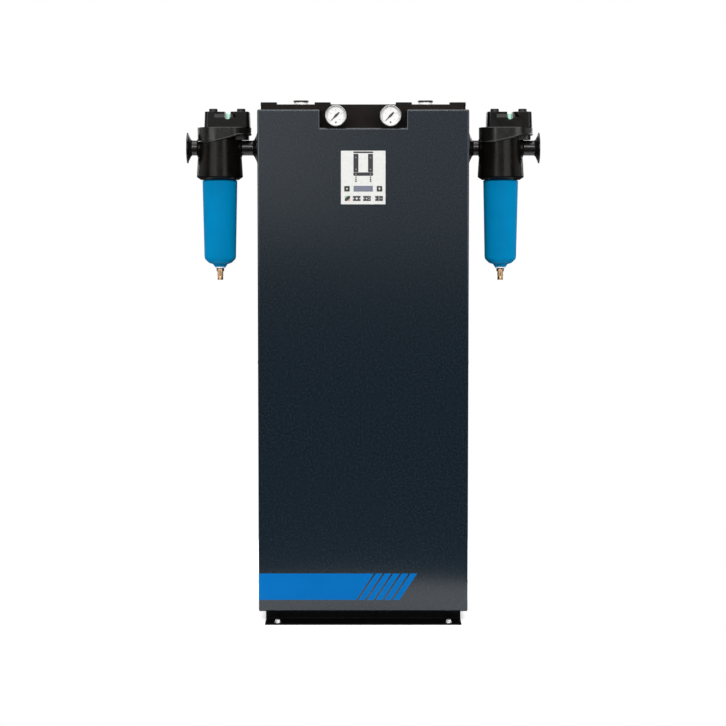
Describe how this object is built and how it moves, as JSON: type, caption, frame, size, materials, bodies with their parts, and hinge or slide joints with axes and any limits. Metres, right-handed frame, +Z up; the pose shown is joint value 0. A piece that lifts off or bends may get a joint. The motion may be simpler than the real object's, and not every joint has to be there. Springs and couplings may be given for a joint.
{
  "type": "twin-tower desiccant air dryer",
  "caption": "Floor-standing twin-tower compressed air dryer in a tall dark sheet-metal cabinet, with gauges, a control label and a blue-bowled line filter at each side port.",
  "frame": {"origin": "on the floor, in the middle of the base", "axes": "+Z up, -Y out of the front cover, +X to the right seen from the front"},
  "size_m": [0.811, 0.38, 1.1798],
  "materials": {
    "blue_grey_powder_coat": "fine-textured satin powder coat",
    "black_steel": "black powder-coated steel",
    "black_casting": "black painted cast aluminium",
    "bare_aluminium": "mill-finish aluminium",
    "desiccant": "off-white beads",
    "brass": "turned and knurled brass",
    "sintered_bronze": "porous sintered bronze",
    "black_plastic": "moulded black plastic",
    "white_nylon": "natural white nylon",
    "dial_white": "printed white dial",
    "clear_lens": "clear acrylic",
    "label_white": "printed membrane label",
    "display_grey": "unlit liquid-crystal display",
    "bowl_blue": "blue painted aluminium, satin",
    "indicator_green": "translucent green plastic",
    "filter_media": "pleated white media"
  },
  "bodies": {
    "cabinet": {"base_tray": "black_steel", "front_cover": "blue_grey_powder_coat", "rear_cover": "blue_grey_powder_coat", "power_gland": "black_plastic", "bottom_manifold": "black_casting", "top_manifold": "black_casting", "transfer_tube": "bare_aluminium", "control_overlay": "label_white", "display_window": "display_grey", "controller_box": "black_plastic", "side_panel_left": "blue_grey_powder_coat", "tower_left": "bare_aluminium", "desiccant_bed_left": "desiccant", "fill_washer_left": "white_nylon", "fill_plug_left": "black_plastic", "purge_valve_left": "black_plastic", "silencer_left": "sintered_bronze", "gauge_case_left": "black_plastic", "gauge_dial_left": "dial_white", "gauge_lens_left": "clear_lens", "filter_left_head": "black_casting", "filter_left_cap": "black_casting", "filter_left_cap_screw_1": "black_steel", "filter_left_cap_screw_2": "black_steel", "filter_left_element": "filter_media", "filter_left_flange_in": "black_casting", "filter_left_flange_out": "black_casting", "side_panel_right": "blue_grey_powder_coat", "tower_right": "bare_aluminium", "desiccant_bed_right": "desiccant", "fill_washer_right": "white_nylon", "fill_plug_right": "black_plastic", "purge_valve_right": "black_plastic", "silencer_right": "sintered_bronze", "gauge_case_right": "black_plastic", "gauge_dial_right": "dial_white", "gauge_lens_right": "clear_lens", "filter_right_head": "black_casting", "filter_right_cap": "black_casting", "filter_right_cap_screw_1": "black_steel", "filter_right_cap_screw_2": "black_steel", "filter_right_element": "filter_media", "filter_right_flange_in": "black_casting", "filter_right_flange_out": "black_casting"},
    "inlet_shuttle": {"inlet_shuttle": "bare_aluminium"},
    "outlet_check_left": {"outlet_check_left": "bare_aluminium"},
    "outlet_check_right": {"outlet_check_right": "bare_aluminium"},
    "purge_plunger_left": {"purge_plunger_left": "brass"},
    "purge_plunger_right": {"purge_plunger_right": "brass"},
    "gauge_needle_left": {"gauge_needle_left": "black_plastic"},
    "gauge_needle_right": {"gauge_needle_right": "black_plastic"},
    "button_left": {"button_left": "black_plastic"},
    "button_right": {"button_right": "black_plastic"},
    "filter_left_indicator": {"filter_left_indicator": "indicator_green"},
    "filter_left_bowl": {"filter_left_bowl": "bowl_blue"},
    "filter_left_drain": {"filter_left_drain": "brass"},
    "filter_right_indicator": {"filter_right_indicator": "indicator_green"},
    "filter_right_bowl": {"filter_right_bowl": "bowl_blue"},
    "filter_right_drain": {"filter_right_drain": "brass"}
  },
  "joints": [
    {"name": "inlet_shuttle_slide", "type": "slide", "parent": "cabinet", "child": "inlet_shuttle", "axis": [1, 0, 0], "range_m": [0, 0.012]},
    {"name": "outlet_check_left_slide", "type": "slide", "parent": "cabinet", "child": "outlet_check_left", "axis": [1, 0, 0], "range_m": [0, 0.006]},
    {"name": "outlet_check_right_slide", "type": "slide", "parent": "cabinet", "child": "outlet_check_right", "axis": [1, 0, 0], "range_m": [0, 0.006]},
    {"name": "purge_plunger_left_slide", "type": "slide", "parent": "cabinet", "child": "purge_plunger_left", "axis": [0, 0, 1], "range_m": [0, 0.004], "stiffness_N_per_m": 400, "springref_m": -0.004},
    {"name": "gauge_needle_left_turn", "type": "hinge", "parent": "cabinet", "child": "gauge_needle_left", "pos_m": [-0.061, -0.1514, 1.1424], "axis": [0, 1, 0], "range_deg": [0, 270], "stiffness_Nm_per_rad": 0.001},
    {"name": "button_left_press", "type": "slide", "parent": "cabinet", "child": "button_left", "axis": [0, 1, 0], "range_m": [0, 0.001], "stiffness_N_per_m": 600, "springref_m": -0.0005},
    {"name": "filter_left_indicator_rise", "type": "slide", "parent": "cabinet", "child": "filter_left_indicator", "axis": [0, 0, 1], "range_m": [0, 0.006], "stiffness_N_per_m": 60, "springref_m": -0.002},
    {"name": "filter_left_bowl_turn", "type": "hinge", "parent": "cabinet", "child": "filter_left_bowl", "pos_m": [-0.33, 0, 0.99], "axis": [0, 0, 1], "range_deg": [0, 45]},
    {"name": "filter_left_drain_turn", "type": "hinge", "parent": "filter_left_bowl", "child": "filter_left_drain", "pos_m": [-0.33, 0, 0.785], "axis": [0, 0, 1], "range_deg": [0, 180]},
    {"name": "purge_plunger_right_slide", "type": "slide", "parent": "cabinet", "child": "purge_plunger_right", "axis": [0, 0, 1], "range_m": [0, 0.004], "stiffness_N_per_m": 400, "springref_m": -0.004},
    {"name": "gauge_needle_right_turn", "type": "hinge", "parent": "cabinet", "child": "gauge_needle_right", "pos_m": [0.061, -0.1514, 1.1424], "axis": [0, 1, 0], "range_deg": [0, 270], "stiffness_Nm_per_rad": 0.001},
    {"name": "button_right_press", "type": "slide", "parent": "cabinet", "child": "button_right", "axis": [0, 1, 0], "range_m": [0, 0.001], "stiffness_N_per_m": 600, "springref_m": -0.0005},
    {"name": "filter_right_indicator_rise", "type": "slide", "parent": "cabinet", "child": "filter_right_indicator", "axis": [0, 0, 1], "range_m": [0, 0.006], "stiffness_N_per_m": 60, "springref_m": -0.002},
    {"name": "filter_right_bowl_turn", "type": "hinge", "parent": "cabinet", "child": "filter_right_bowl", "pos_m": [0.3165, 0, 0.99], "axis": [0, 0, 1], "range_deg": [0, 45]},
    {"name": "filter_right_drain_turn", "type": "hinge", "parent": "filter_right_bowl", "child": "filter_right_drain", "pos_m": [0.3165, 0, 0.785], "axis": [0, 0, 1], "range_deg": [0, 180]}
  ],
  "couplings": [
    {"joint": "outlet_check_left_slide", "follows": "inlet_shuttle_slide", "ratio": 0.5},
    {"joint": "outlet_check_right_slide", "follows": "inlet_shuttle_slide", "ratio": 0.5}
  ]
}
